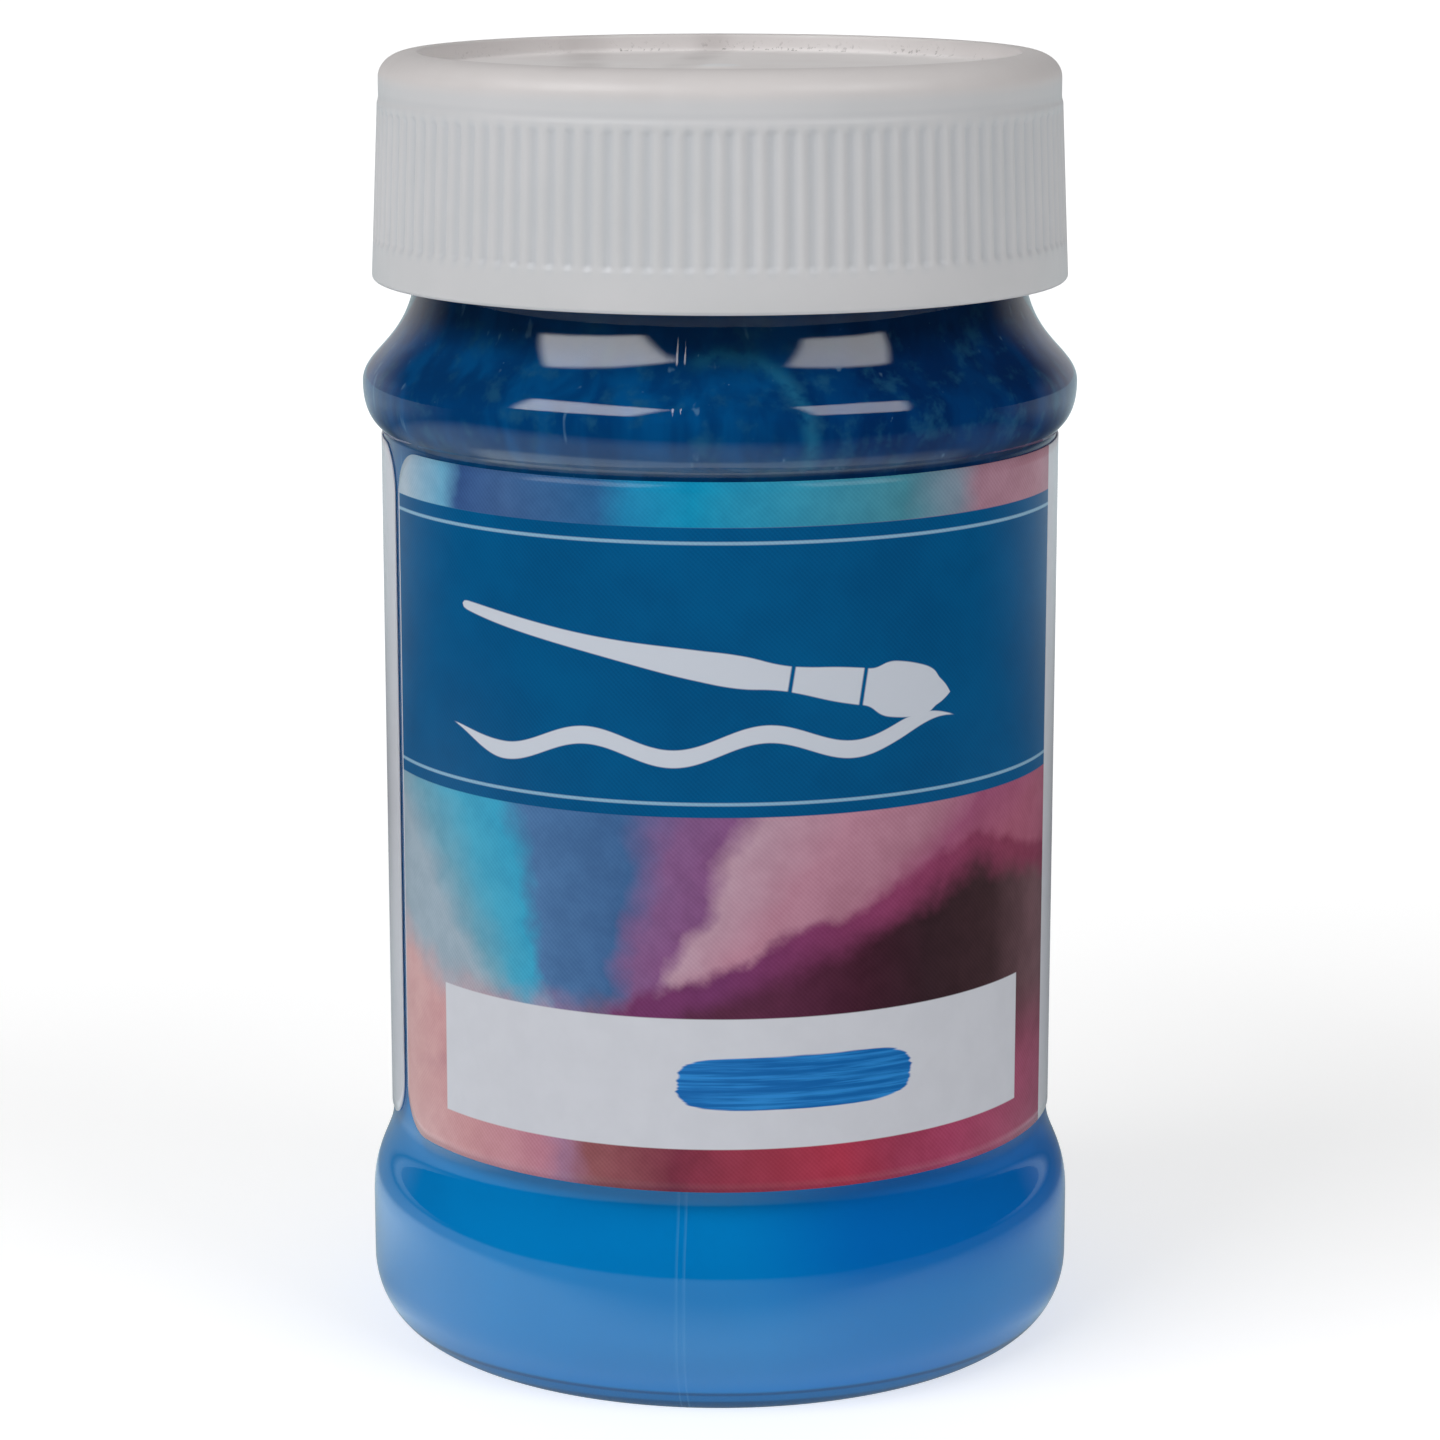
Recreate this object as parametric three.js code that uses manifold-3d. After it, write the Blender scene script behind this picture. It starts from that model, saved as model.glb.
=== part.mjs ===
// A 100 ml paint jar: a clear blow-moulded plastic jar with a 43 mm screw neck, a ribbed
// white cap with a foam liner, a wrap-round paper label, and the paint inside.
// Millimetres, +Z up. The origin is the centre of the base, in the plane the jar stands on,
// and -Y is the front, where the middle of the label's coloured panel faces.

import * as THREE from 'three';
import { mergeVertices } from 'three/addons/utils/BufferGeometryUtils.js';
import Module from 'manifold-3d';

// ---- Driving dimensions ----

const PANEL_R = 21.95; // outside radius of the recessed label panel
const BULGE_R = 23.4; // outside radius of the base and of the shoulder bead
const WALL = 0.9; // body wall
const NECK_R = 19.6; // neck outside radius, at the root of the thread
const NECK_FOOT_R = 20.0; // neck outside radius where it leaves the shoulder
const MOUTH_R = 18.4; // inside radius of the neck
const RIM_Z = 80.9; // sealing land on top of the neck
const CAP_TOP_Z = 84.4;
const CAP_BOTTOM_Z = 69.9;
const LEAD = 25.4 / 6; // six threads to the inch: the cap's rise in one turn
const THREAD_TURNS = 1.25;

const ROUND_SIDES = 48; // sides of the jar, its contents, its label and the liner
const CAP_SIDES = 56; // half the number of ribs, so that each cap facet carries two
const CURVE_STEPS = 3; // straight pieces in each curve of an outline
const TOUCH = 0.05; // gap left between pieces that touch

// ---- Base, panel and shoulder of the jar ----

const STANDING_RING = { inner: 18.4, outer: 20.2 };
const HEEL_TOP_Z = 4.2;
const PUSH_UP = 2.2; // how far the middle of the base is domed up
const FLOOR = 1.3; // thickness of the base
const BASE_BULGE_TOP_Z = 8.4;
const PANEL_Z = [14.6, 60.0];
const SHOULDER_Z = 63.0; // height of the shoulder's widest point
const NECK_FOOT_Z = [69.8, 71.6]; // where the shoulder ends and the straight neck starts
const RIM_CHAMFER = 0.3;

// ---- Cap ----

const CAP = {
  rimInner: 19.3,
  recess: 1.1, // depth of the dished top
  plate: 1.3, // thickness of the top plate
  corner: 1.3, // rounding of the top corner
  topR: 21.9,
  bottomR: 22.58,
  boreR: 21.15, // inside radius of the skirt
  ribs: 112,
  ribZ: [72.6, 81.4],
  ribDepth: 0.3,
  edge: 0.25, // chamfer of the skirt's lower edge
};
const LINER = { radius: 20.75, thickness: 0.9 };
const LINER_BEAD = { radius: 20.45, halfHeight: 0.45 }; // holds the liner up in the cap

// ---- Threads: trapezoid ridges that share one helix ----

const NECK_THREAD = { root: 19.6, crest: 20.9, rootHalf: 1.15, crestHalf: 0.55, topZ: 78.7 };
const CAP_THREAD = { root: CAP.boreR, crest: 20.05, rootHalf: 0.95, crestHalf: 0.45 };
const FLANK_GAP = 0.15;
const THREAD_EMBED = 0.25; // how far a ridge is sunk into its wall
const THREAD_STEP = THREE.MathUtils.degToRad(6);
const RUN_OUT = THREE.MathUtils.degToRad(30); // arc over which a ridge fades at each end

// ---- Label and paint ----

const LABEL = {
  thickness: 0.1,
  z: [14.85, 59.8],
  gap: 0.9, // bare strip between the label's two ends
  gapAngle: THREE.MathUtils.degToRad(-69.1), // from the front, turning towards +X
  corner: 3.0,
};
const PAINT_LEVEL_Z = 75.0; // holds 100 ml

// ---- Solids: joining and cutting with manifold-3d ----

const wasm = await Module();
wasm.setup();

function toSolid(geometry) {
  geometry.deleteAttribute('normal');
  geometry.deleteAttribute('uv');
  const merged = mergeVertices(geometry, 1e-4);
  return new wasm.Manifold(
    new wasm.Mesh({
      numProp: 3,
      vertProperties: new Float32Array(merged.attributes.position.array),
      triVerts: new Uint32Array(merged.index.array),
    }),
  );
}

function toGeometry(solid) {
  const mesh = solid.getMesh();
  const geometry = new THREE.BufferGeometry();
  geometry.setAttribute('position', new THREE.BufferAttribute(mesh.vertProperties, 3));
  geometry.setIndex(new THREE.BufferAttribute(mesh.triVerts, 1));
  geometry.computeVertexNormals();
  return geometry;
}

// Turns an outline of (radius, height) points about the Z axis, from the front round by +X.
function turned(points, sides) {
  const geometry = new THREE.LatheGeometry(points, sides);
  geometry.rotateX(Math.PI / 2);
  return geometry;
}

function outline(path) {
  return path.getPoints(CURVE_STEPS);
}

// ---- Jar ----

// Outside of the jar, from the middle of the base up to the neck.
function jarOutside() {
  const path = new THREE.Path();
  path.moveTo(0, PUSH_UP);
  path.quadraticCurveTo(STANDING_RING.inner * 0.6, PUSH_UP, STANDING_RING.inner, 0);
  path.lineTo(STANDING_RING.outer, 0);
  const heel = BULGE_R - STANDING_RING.outer;
  path.absellipse(STANDING_RING.outer, HEEL_TOP_Z, heel, HEEL_TOP_Z, -Math.PI / 2, 0);
  path.lineTo(BULGE_R, BASE_BULGE_TOP_Z);
  path.bezierCurveTo(BULGE_R, 11.6, PANEL_R, 12.2, PANEL_R, PANEL_Z[0]);
  path.lineTo(PANEL_R, PANEL_Z[1]);
  path.bezierCurveTo(PANEL_R, 61.2, BULGE_R, 61.0, BULGE_R, SHOULDER_Z);
  path.bezierCurveTo(BULGE_R, 65.6, NECK_FOOT_R + 0.6, 66.0, NECK_FOOT_R, NECK_FOOT_Z[0]);
  path.lineTo(NECK_R, NECK_FOOT_Z[1]);
  path.lineTo(NECK_R, RIM_Z - RIM_CHAMFER);
  path.lineTo(NECK_R - RIM_CHAMFER, RIM_Z);
  return outline(path);
}

// Inside of the jar, from the middle of the floor up to the foot of the neck.
// Inset draws it smaller, for what fills the jar.
function jarInside(inset) {
  const panel = PANEL_R - WALL - inset;
  const bulge = BULGE_R - WALL - inset;
  const mouth = MOUTH_R - inset;
  const cornerR = STANDING_RING.inner + 0.2;
  const cornerZ = FLOOR + inset;
  const heelZ = 5.0;
  const path = new THREE.Path();
  path.moveTo(0, PUSH_UP + FLOOR + inset);
  path.quadraticCurveTo(cornerR * 0.6, PUSH_UP + cornerZ, cornerR, cornerZ);
  path.absellipse(cornerR, heelZ, bulge - cornerR, heelZ - cornerZ, -Math.PI / 2, 0);
  path.lineTo(bulge, BASE_BULGE_TOP_Z);
  path.bezierCurveTo(bulge, 11.6, panel, 12.2, panel, PANEL_Z[0]);
  path.lineTo(panel, PANEL_Z[1]);
  path.bezierCurveTo(panel, 61.2, bulge, 61.0, bulge, SHOULDER_Z);
  path.bezierCurveTo(bulge, 64.8, mouth + 0.4, 65.2, mouth, NECK_FOOT_Z[0]);
  return outline(path);
}

// A straight bar of trapezoid section, wound down a right-hand helix about the Z axis.
// Its height fades to almost nothing over the run-out at both ends.
function threadRidge({ root, crest, rootHalf, crestHalf }, topZ) {
  const outwards = Math.sign(crest - root);
  const buried = root - outwards * THREAD_EMBED;
  const section = new THREE.Shape();
  section.moveTo(buried, -rootHalf);
  section.lineTo(root, -rootHalf);
  section.lineTo(crest, -crestHalf);
  section.lineTo(crest, crestHalf);
  section.lineTo(root, rootHalf);
  section.lineTo(buried, rootHalf);
  const sweep = THREAD_TURNS * 2 * Math.PI;
  const geometry = new THREE.ExtrudeGeometry(section, {
    depth: sweep,
    steps: Math.round(sweep / THREAD_STEP),
    bevelEnabled: false,
  });
  const position = geometry.attributes.position;
  for (let i = 0; i < position.count; i++) {
    const wound = position.getZ(i);
    const nearEnd = Math.min(wound, sweep - wound) / RUN_OUT;
    const height = THREE.MathUtils.lerp(0.05, 1, THREE.MathUtils.smoothstep(nearEnd, 0, 1));
    const radius = root + (position.getX(i) - root) * (position.getX(i) === buried ? 1 : height);
    const z = topZ + position.getY(i) - (LEAD * wound) / (2 * Math.PI);
    position.setXYZ(i, radius * Math.cos(-wound), radius * Math.sin(-wound), z);
  }
  return toSolid(geometry);
}

function jarBody() {
  const inside = jarInside(0).reverse();
  const profile = [...jarOutside(), new THREE.Vector2(MOUTH_R, RIM_Z), ...inside];
  const shell = toSolid(turned(profile, ROUND_SIDES));
  return toGeometry(shell.add(threadRidge(NECK_THREAD, NECK_THREAD.topZ)));
}

// ---- Paint ----

function paintFill() {
  const top = [new THREE.Vector2(MOUTH_R - TOUCH, PAINT_LEVEL_Z), new THREE.Vector2(0, PAINT_LEVEL_Z)];
  return turned([...jarInside(TOUCH), ...top], ROUND_SIDES);
}

// ---- Label ----

// A ring round the panel, less a bare strip whose ends flare where the label's corners are round.
function wrapLabel() {
  const inner = PANEL_R + TOUCH;
  const outer = inner + LABEL.thickness;
  const [bottom, top] = LABEL.z;
  const corners = [
    [inner, bottom],
    [outer, bottom],
    [outer, top],
    [inner, top],
    [inner, bottom],
  ];
  const ring = toSolid(turned(corners.map(([r, z]) => new THREE.Vector2(r, z)), ROUND_SIDES));

  const half = LABEL.gap / 2;
  const flare = half + LABEL.corner;
  const over = 1; // the cutter runs past the label's edges
  const strip = new THREE.Shape();
  strip.moveTo(-flare, bottom - over);
  strip.lineTo(flare, bottom - over);
  strip.lineTo(flare, bottom);
  strip.absarc(flare, bottom + LABEL.corner, LABEL.corner, -Math.PI / 2, Math.PI, true);
  strip.lineTo(half, top - LABEL.corner);
  strip.absarc(flare, top - LABEL.corner, LABEL.corner, Math.PI, Math.PI / 2, true);
  strip.lineTo(flare, top + over);
  strip.lineTo(-flare, top + over);
  strip.lineTo(-flare, top);
  strip.absarc(-flare, top - LABEL.corner, LABEL.corner, Math.PI / 2, 0, true);
  strip.lineTo(-half, bottom + LABEL.corner);
  strip.absarc(-flare, bottom + LABEL.corner, LABEL.corner, 0, -Math.PI / 2, true);
  const cutter = new THREE.ExtrudeGeometry(strip, {
    depth: outer + over,
    bevelEnabled: false,
    curveSegments: 2 * CURVE_STEPS,
  });
  cutter.rotateX(Math.PI / 2); // the strip stands up and points towards the front
  cutter.rotateZ(LABEL.gapAngle);
  return toGeometry(ring.subtract(toSolid(cutter)));
}

// ---- Cap ----

const CAP_BORE_TOP_Z = CAP_TOP_Z - CAP.recess - CAP.plate;
const RIB_TOP_R = CAP.topR + 0.1;
const RIB_BOTTOM_R = CAP.bottomR - 0.1;

function capShell() {
  const floorZ = CAP_TOP_Z - CAP.recess;
  const linerBottomZ = RIM_Z + TOUCH;
  const beadZ = linerBottomZ - LINER_BEAD.halfHeight - 2 * TOUCH;
  const path = new THREE.Path();
  path.moveTo(0, CAP_BORE_TOP_Z);
  path.lineTo(CAP.boreR, CAP_BORE_TOP_Z);
  path.lineTo(CAP.boreR, beadZ + LINER_BEAD.halfHeight);
  path.lineTo(LINER_BEAD.radius, beadZ);
  path.lineTo(CAP.boreR, beadZ - LINER_BEAD.halfHeight);
  path.lineTo(CAP.boreR, CAP_BOTTOM_Z + CAP.edge);
  path.lineTo(CAP.boreR + CAP.edge, CAP_BOTTOM_Z);
  path.lineTo(CAP.bottomR - CAP.edge, CAP_BOTTOM_Z);
  path.lineTo(CAP.bottomR, CAP_BOTTOM_Z + CAP.edge);
  path.lineTo(RIB_BOTTOM_R, CAP.ribZ[0]);
  path.lineTo(RIB_BOTTOM_R - CAP.ribDepth, CAP.ribZ[0]);
  path.lineTo(RIB_TOP_R - CAP.ribDepth, CAP.ribZ[1]);
  path.lineTo(RIB_TOP_R, CAP.ribZ[1]);
  path.lineTo(CAP.topR, CAP_TOP_Z - CAP.corner);
  path.absarc(CAP.topR - CAP.corner, CAP_TOP_Z - CAP.corner, CAP.corner, 0, Math.PI / 2);
  path.lineTo(CAP.rimInner, CAP_TOP_Z);
  path.lineTo(CAP.rimInner - 0.4, floorZ);
  path.lineTo(0, floorZ);
  return toSolid(turned(outline(path), CAP_SIDES));
}

// The grip: a ring with one V-shaped tooth per rib, tapered with the skirt.
function capRibs() {
  const [bottom, top] = CAP.ribZ;
  const height = top - bottom;
  const overlap = 0.1; // how far the ring is sunk into the skirt
  const teeth = new THREE.Shape();
  for (let i = 0; i < 2 * CAP.ribs; i++) {
    const angle = (Math.PI * i) / CAP.ribs;
    const radius = i % 2 ? RIB_BOTTOM_R - CAP.ribDepth : RIB_BOTTOM_R;
    const x = radius * Math.sin(angle);
    const y = -radius * Math.cos(angle);
    if (i === 0) teeth.moveTo(x, y);
    else teeth.lineTo(x, y);
  }
  const bore = new THREE.Path();
  bore.absarc(0, 0, RIB_BOTTOM_R - CAP.ribDepth - overlap - 0.1, 0, 2 * Math.PI);
  teeth.holes.push(bore);
  const geometry = new THREE.ExtrudeGeometry(teeth, {
    depth: height,
    bevelEnabled: false,
    curveSegments: CAP_SIDES,
  });
  const position = geometry.attributes.position;
  for (let i = 0; i < position.count; i++) {
    const rise = position.getZ(i) / height;
    const scale = THREE.MathUtils.lerp(1, RIB_TOP_R / RIB_BOTTOM_R, rise);
    position.setXYZ(i, position.getX(i) * scale, position.getY(i) * scale, bottom + position.getZ(i));
  }
  return toSolid(geometry);
}

// The cap's ridge lies under the neck's, so that turning the cap closed pulls it down.
function screwCap() {
  const flanks = NECK_THREAD.crestHalf + CAP_THREAD.rootHalf;
  const slope = (CAP_THREAD.rootHalf - CAP_THREAD.crestHalf) / (CAP_THREAD.root - CAP_THREAD.crest);
  const meet = flanks - slope * (CAP_THREAD.root - NECK_THREAD.crest);
  const ridge = threadRidge(CAP_THREAD, NECK_THREAD.topZ - meet - FLANK_GAP);
  return toGeometry(capShell().add(capRibs()).add(ridge));
}

function capLiner() {
  const bottom = RIM_Z + TOUCH;
  const top = CAP_BORE_TOP_Z - TOUCH;
  const points = [
    new THREE.Vector2(0, bottom),
    new THREE.Vector2(LINER.radius, bottom),
    new THREE.Vector2(LINER.radius, top),
    new THREE.Vector2(0, top),
  ];
  return turned(points, ROUND_SIDES);
}

// ---- Assembly ----

const clearPlastic = new THREE.MeshStandardMaterial({
  color: 0xdfe9f2,
  roughness: 0.06,
  metalness: 0,
  transparent: true,
  opacity: 0.3,
});
const whitePlastic = new THREE.MeshStandardMaterial({ color: 0xd3d3d4, roughness: 0.45, metalness: 0 });
const foam = new THREE.MeshStandardMaterial({ color: 0xf0f0ec, roughness: 0.9, metalness: 0 });
const bluePaint = new THREE.MeshStandardMaterial({ color: 0x0068b0, roughness: 0.15, metalness: 0 });
const printedPaper = new THREE.MeshStandardMaterial({ color: 0x14588c, roughness: 0.5, metalness: 0 });

function named(name, geometry, material) {
  const mesh = new THREE.Mesh(geometry, material);
  mesh.name = name;
  return mesh;
}

const jar = new THREE.Group();
jar.add(
  named('jar_body', jarBody(), clearPlastic),
  named('paint_fill', paintFill(), bluePaint),
  named('wrap_label', wrapLabel(), printedPaper),
);

const closure = new THREE.Group();
closure.add(
  named('screw_cap', screwCap(), whitePlastic),
  named('cap_liner', capLiner(), foam),
);

const paintJar = new THREE.Group();
paintJar.add(jar, closure);

export default paintJar;
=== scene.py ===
"""A 100 ml jar of blue craft paint: clear plastic jar, wrap-round label, ribbed white screw cap.

The pieces stand in the CAD frame: metres, +Z up, the origin at the centre of the base and -Y the front.
Outlines are worked out in millimetres and scaled once, where a mesh is made.
"""

import math

import bpy
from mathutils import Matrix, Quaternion, Vector


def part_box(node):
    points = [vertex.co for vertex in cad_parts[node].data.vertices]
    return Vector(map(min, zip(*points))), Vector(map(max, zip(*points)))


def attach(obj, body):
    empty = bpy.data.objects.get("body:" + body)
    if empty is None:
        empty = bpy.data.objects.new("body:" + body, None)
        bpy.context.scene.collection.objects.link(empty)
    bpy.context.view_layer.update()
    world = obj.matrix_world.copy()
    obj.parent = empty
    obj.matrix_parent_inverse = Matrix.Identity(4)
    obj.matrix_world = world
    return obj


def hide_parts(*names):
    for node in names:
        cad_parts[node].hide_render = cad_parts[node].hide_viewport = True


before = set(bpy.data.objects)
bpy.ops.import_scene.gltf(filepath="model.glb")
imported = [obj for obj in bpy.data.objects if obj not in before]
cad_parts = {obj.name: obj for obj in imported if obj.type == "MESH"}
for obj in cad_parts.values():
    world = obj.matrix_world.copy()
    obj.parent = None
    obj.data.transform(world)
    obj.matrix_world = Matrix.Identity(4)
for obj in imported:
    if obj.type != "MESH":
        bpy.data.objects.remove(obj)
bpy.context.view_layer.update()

MM = 0.001
TAU = 2 * math.pi


# ---- Driving sizes, in millimetres, read from the CAD pieces' boxes ----


def half_width(node):
    lo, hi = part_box(node)
    return (hi[0] - lo[0]) / 2 / MM


def heights(node):
    lo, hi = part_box(node)
    return lo[2] / MM, hi[2] / MM


BULGE_R = half_width("jar_body")  # the base
LABEL_R = half_width("wrap_label")  # the printed face
LABEL_Z = heights("wrap_label")
RIM_Z = heights("jar_body")[1]
PAINT_Z = heights("paint_fill")[1]
CAP_R = half_width("screw_cap")
CAP_Z = heights("screw_cap")
LINER_R = half_width("cap_liner")
LINER_Z = heights("cap_liner")

LABEL_SHEET = 0.1
PANEL_R = LABEL_R - LABEL_SHEET - 0.02  # the jar's wall behind the label
WALL = 0.9
MOUTH_R = 18.4
NECK_R = 19.6
NECK_FOOT_R = 19.8
SHOULDER_R = BULGE_R - 0.15  # the bead round the shoulder
SHOULDER_Z = 63.3
NECK_FOOT_Z = 69.8

LEAD = 25.4 / 6  # the thread's rise in one turn
THREAD_TURNS = 1.25
THREAD_TOP_Z = 78.7
THREAD_GAP = 0.15  # between the flanks of the two threads
RUN_OUT = math.radians(30)  # arc over which a thread fades in and out

SEAM = math.radians(-6.3)  # the mould's parting line, and again half a turn on
RIBS = 112


# ---- Outlines: lists of (radius, height) points ----


def line(a, b, steps=1):
    """Points along a straight line. Like the other outlines, it leaves out its first point."""
    across, up = b[0] - a[0], b[1] - a[1]
    return [(a[0] + across * i / steps, a[1] + up * i / steps) for i in range(1, steps + 1)]


def bezier(a, b, c, d, steps):
    """A cubic curve from a to d, steered by b and c."""
    points = []
    for i in range(1, steps + 1):
        t = i / steps
        k = ((1 - t) ** 3, 3 * t * (1 - t) ** 2, 3 * t * t * (1 - t), t**3)
        points.append(tuple(sum(w * p[n] for w, p in zip(k, (a, b, c, d))) for n in (0, 1)))
    return points


def s_curve(start, end, steered_at, steps):
    """A curve between two upright walls, steered at these two heights on them."""
    leaves, joins = steered_at
    return bezier(start, (start[0], leaves), (end[0], joins), end, steps)


def arc(centre, radii, start, end, steps):
    """Part of a circle or an ellipse, from one angle to another in degrees."""
    points = []
    for i in range(1, steps + 1):
        angle = math.radians(start + (end - start) * i / steps)
        points.append((centre[0] + radii[0] * math.cos(angle), centre[1] + radii[1] * math.sin(angle)))
    return points


def smoothstep(x):
    x = min(1.0, max(0.0, x))
    return x * x * (3 - 2 * x)


# ---- Meshes ----

ON_AXIS = 1e-6  # a point nearer the axis than this is on it


def even_angles(count):
    return [TAU * i / count for i in range(count)]


def revolve(name, profile, angles, relief=None):
    """Turns a profile about Z. An end on the axis is one point. A start off the axis closes the profile.

    relief(angle, radius, height, row) gives how far a point is moved outwards. Angle 0 is the front.
    """
    verts = []
    rows = []
    for row, (radius, height) in enumerate(profile):
        if radius < ON_AXIS:
            rows.append([len(verts)] * len(angles))
            verts.append((0, 0, height * MM))
            continue
        rows.append(range(len(verts), len(verts) + len(angles)))
        for angle in angles:
            r = radius + (relief(angle, radius, height, row) if relief else 0)
            verts.append((r * math.sin(angle) * MM, -r * math.cos(angle) * MM, height * MM))
    bands = len(rows) - 1 if profile[0][0] < ON_AXIS else len(rows)
    faces = []
    for i in range(bands):
        low, high = rows[i], rows[(i + 1) % len(rows)]
        for j in range(len(angles)):
            k = (j + 1) % len(angles)
            corners = [low[j], low[k], high[k], high[j]]
            faces.append([v for n, v in enumerate(corners) if v not in corners[:n]])
    return mesh_object(name, verts, faces)


def mesh_object(name, verts, faces):
    mesh = bpy.data.meshes.new(name)
    mesh.from_pydata(verts, [], faces)
    mesh.validate()
    mesh.shade_smooth()
    mesh.update()
    piece = bpy.data.objects.new(name, mesh)
    bpy.context.scene.collection.objects.link(piece)
    return piece


def thread_height(angle, height, top_z, root_half, crest_half):
    """How much of a thread's full height stands at a point: 1 on the crest, 0 off the thread."""
    best = 0.0
    for turn in range(-1, 3):
        wound = -angle + math.pi / 2 + TAU * turn  # the ridge starts on the +X side and winds down
        if not 0 <= wound <= THREAD_TURNS * TAU:
            continue
        away = abs(height - (top_z - LEAD * wound / TAU))
        side = smoothstep((root_half - away) / (root_half - crest_half))
        fade = smoothstep(min(wound, THREAD_TURNS * TAU - wound) / RUN_OUT)
        best = max(best, side * fade)
    return best


# ---- The jar ----

PUSH_UP = 2.2  # the middle of the base is domed up this far
FLOOR = 1.3
STANDING_RING = (18.4, 20.2)
HEEL_Z = 4.2
INSIDE_CORNER_R = STANDING_RING[0] + 0.2  # the floor inside turns up the wall from here
INSIDE_CORNER_Z = 5.0
BASE_BULGE_Z = 8.4
PANEL_Z = (14.6, 60.0)
NECK_Z = 71.6  # where the straight neck starts
RIM_ROUND = 0.3

# Where the wall's curves are steered: at parts of the radius over the base, and at heights further up
DOME_STEERED = (0.55, 0.8)
FLOOR_STEERED = (0.5, 0.8)
BASE_TO_PANEL = (11.6, 12.0)
PANEL_TO_BEAD = (60.6, 60.7)
BEAD_TO_NECK = (65.1, 65.7)
INSIDE_PANEL_TO_BEAD = (60.8, 60.9)
INSIDE_BEAD_TO_NECK = (64.4, 64.9)
NECK_SWEEP = 0.65  # how far outside the neck's foot the last curve is steered
INSIDE_NECK_SWEEP = 0.7

DOME_ROWS = 24
NECK_ROWS = 44


def jar_outside():
    """The outside of the jar from the middle of the base up to the foot of the neck."""
    ring_in, ring_out = STANDING_RING
    near, far = (ring_in * part for part in DOME_STEERED)
    points = [(0, PUSH_UP)]
    points += bezier(points[-1], (near, PUSH_UP), (far, PUSH_UP / 2), (ring_in, 0), DOME_ROWS)
    points += line(points[-1], (ring_out, 0))
    points += arc((ring_out, HEEL_Z), (BULGE_R - ring_out, HEEL_Z), -90, 0, 20)
    points += line(points[-1], (BULGE_R, BASE_BULGE_Z), 3)
    points += s_curve(points[-1], (PANEL_R, PANEL_Z[0]), BASE_TO_PANEL, 18)
    points += line(points[-1], (PANEL_R, PANEL_Z[1]), 6)
    points += s_curve(points[-1], (SHOULDER_R, SHOULDER_Z), PANEL_TO_BEAD, 20)
    low, high = BEAD_TO_NECK
    foot = (NECK_FOOT_R, NECK_FOOT_Z)
    points += bezier(points[-1], (SHOULDER_R, low), (NECK_FOOT_R + NECK_SWEEP, high), foot, 28)
    return points


def jar_inside():
    """The inside of the jar from the middle of the floor up to the foot of the neck."""
    bulge, panel, bead = BULGE_R - WALL, PANEL_R - WALL, SHOULDER_R - WALL
    corner = INSIDE_CORNER_R
    near, far = (corner * part for part in FLOOR_STEERED)
    points = [(0, PUSH_UP + FLOOR)]
    points += bezier(points[-1], (near, PUSH_UP + FLOOR), (far, FLOOR), (corner, FLOOR), 16)
    points += arc((corner, INSIDE_CORNER_Z), (bulge - corner, INSIDE_CORNER_Z - FLOOR), -90, 0, 12)
    points += line(points[-1], (bulge, BASE_BULGE_Z), 2)
    points += s_curve(points[-1], (panel, PANEL_Z[0]), BASE_TO_PANEL, 12)
    points += line(points[-1], (panel, PANEL_Z[1]), 4)
    points += s_curve(points[-1], (bead, SHOULDER_Z), INSIDE_PANEL_TO_BEAD, 14)
    low, high = INSIDE_BEAD_TO_NECK
    neck_foot = (MOUTH_R, NECK_FOOT_Z)
    points += bezier(points[-1], (bead, low), (MOUTH_R + INSIDE_NECK_SWEEP, high), neck_foot, 18)
    return points


NECK_THREAD = {"top_z": THREAD_TOP_Z, "root_half": 1.15, "crest_half": 0.55}
NECK_THREAD_DEPTH = 1.3
SEAM_LINES = 0.24  # each of the two fine ridges stands this far from the parting line
SEAM_WIDTH = 0.13
SEAM_PROUD = 0.014
JAR_COLUMNS = 240
SEAM_COLUMNS = 7  # fine columns on each side of a parting line, half a ridge's width apart
COLUMN_GAP = 0.01  # the least angle between an even column and a fine one


def seam_relief(angle, radius):
    """Two fine ridges along each parting line of the mould."""
    away = min(abs(math.remainder(angle - SEAM - half, TAU)) for half in (0, math.pi)) * radius
    return SEAM_PROUD * smoothstep(1 - abs(away - SEAM_LINES) / SEAM_WIDTH)


def jar_angles():
    """Even steps round the jar, with finer ones across the two parting lines."""
    offsets = [n * SEAM_WIDTH / 2 / BULGE_R for n in range(-SEAM_COLUMNS, SEAM_COLUMNS + 1)]
    fine = [SEAM + half + offset for half in (0, math.pi) for offset in offsets]
    even = []
    for angle in even_angles(JAR_COLUMNS):
        if all(abs(math.remainder(angle - other, TAU)) > COLUMN_GAP for other in fine):
            even.append(angle)
    return sorted(angle % TAU for angle in fine + even)


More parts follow.
